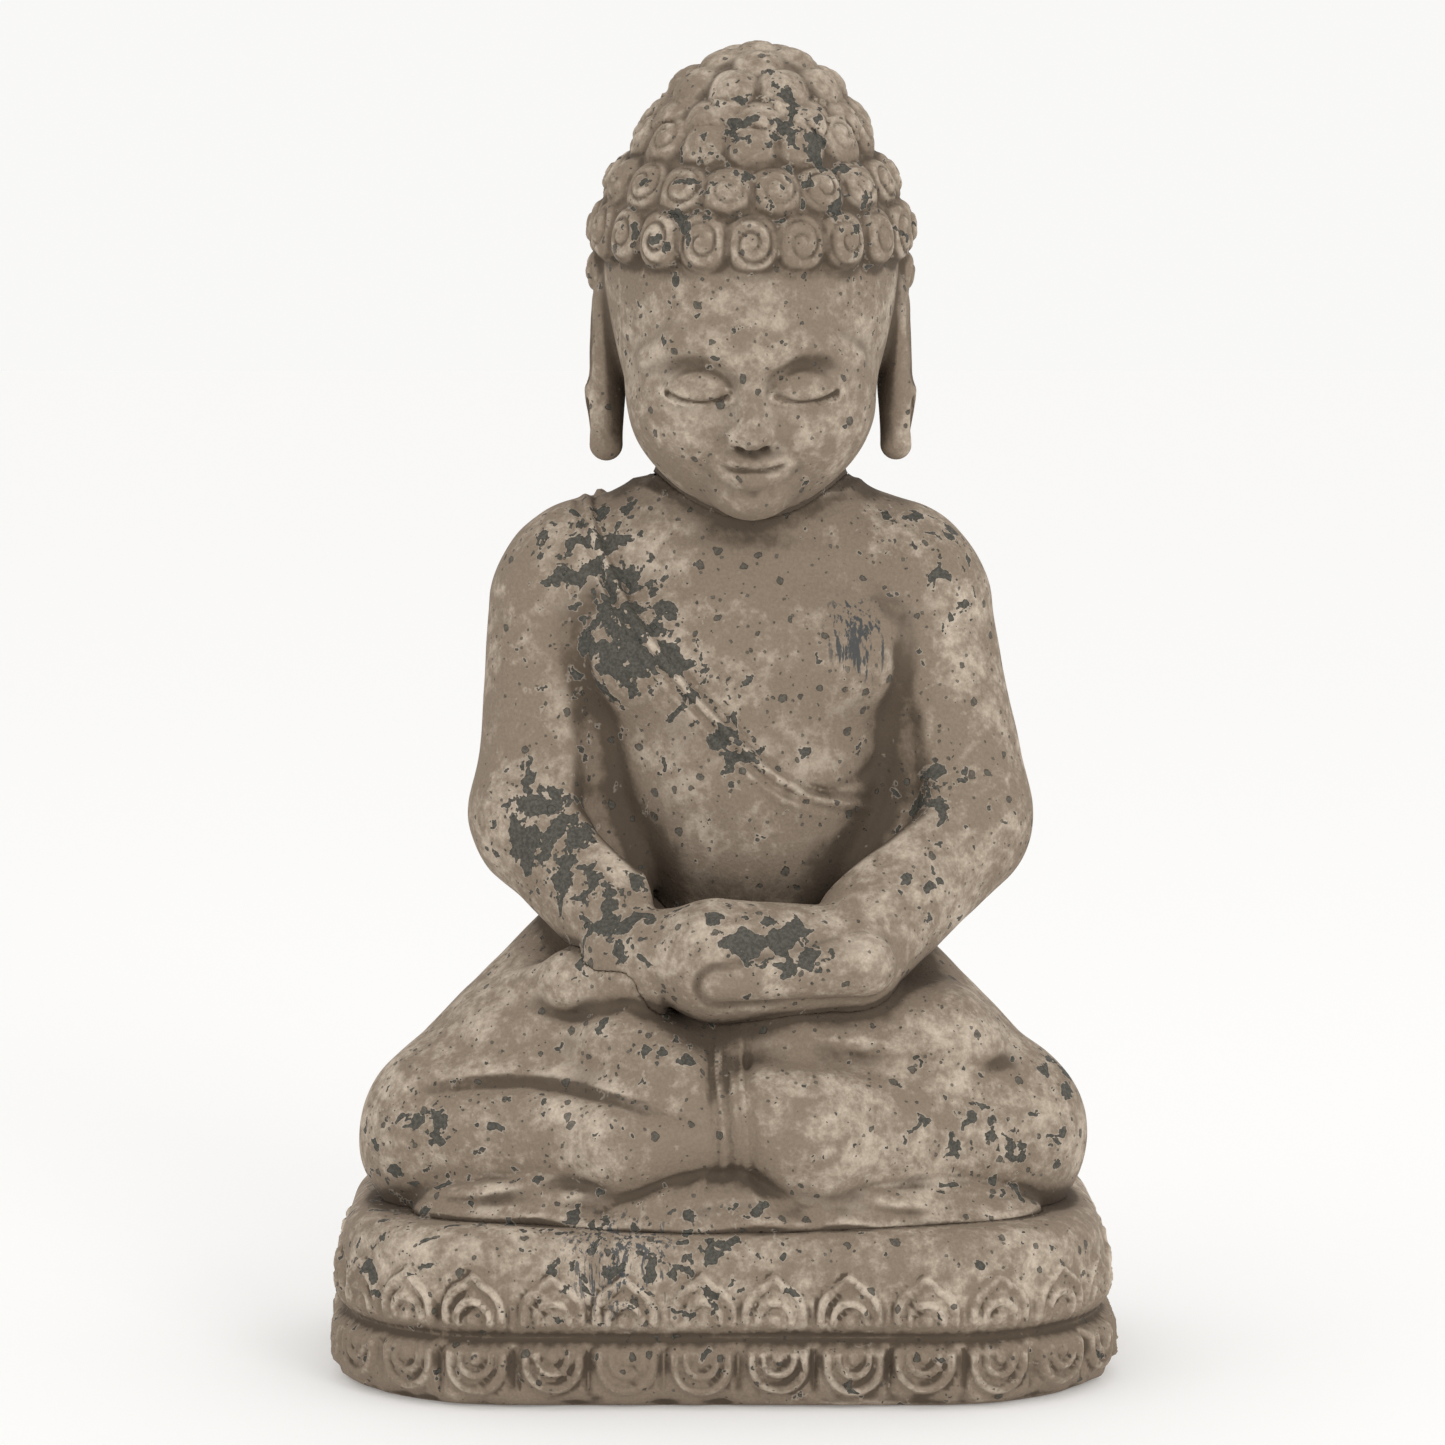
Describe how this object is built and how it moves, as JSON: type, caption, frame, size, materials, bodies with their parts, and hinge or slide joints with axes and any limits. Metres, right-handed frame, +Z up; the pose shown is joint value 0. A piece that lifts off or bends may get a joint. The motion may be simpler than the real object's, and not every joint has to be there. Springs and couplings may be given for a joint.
{
  "type": "buddha statue",
  "caption": "Seated meditating buddha on a double lotus plinth, in weathered cast cement, for a shelf, hall or garden.",
  "frame": {"origin": "middle of the plinth's footprint, on the floor", "axes": "+Z up, the figure faces -Y, +X is to the figure's left"},
  "size_m": [0.3534, 0.2536, 0.6],
  "materials": {
    "cement": "matt cast cement with a pale wash, worn through to dark grey in chips, with small air-bubble pits",
    "mortar": "rough sand and cement mortar",
    "steel": "black mild steel bar with a film of rust"
  },
  "bodies": {
    "root": {"plinth_casting": "cement", "lap_casting": "cement", "torso_casting": "cement", "head_casting": "cement", "seat_mortar": "mortar", "waist_mortar": "mortar", "neck_mortar": "mortar", "seat_bars": "steel", "waist_bars": "steel", "neck_bar": "steel"}
  },
  "joints": []
}
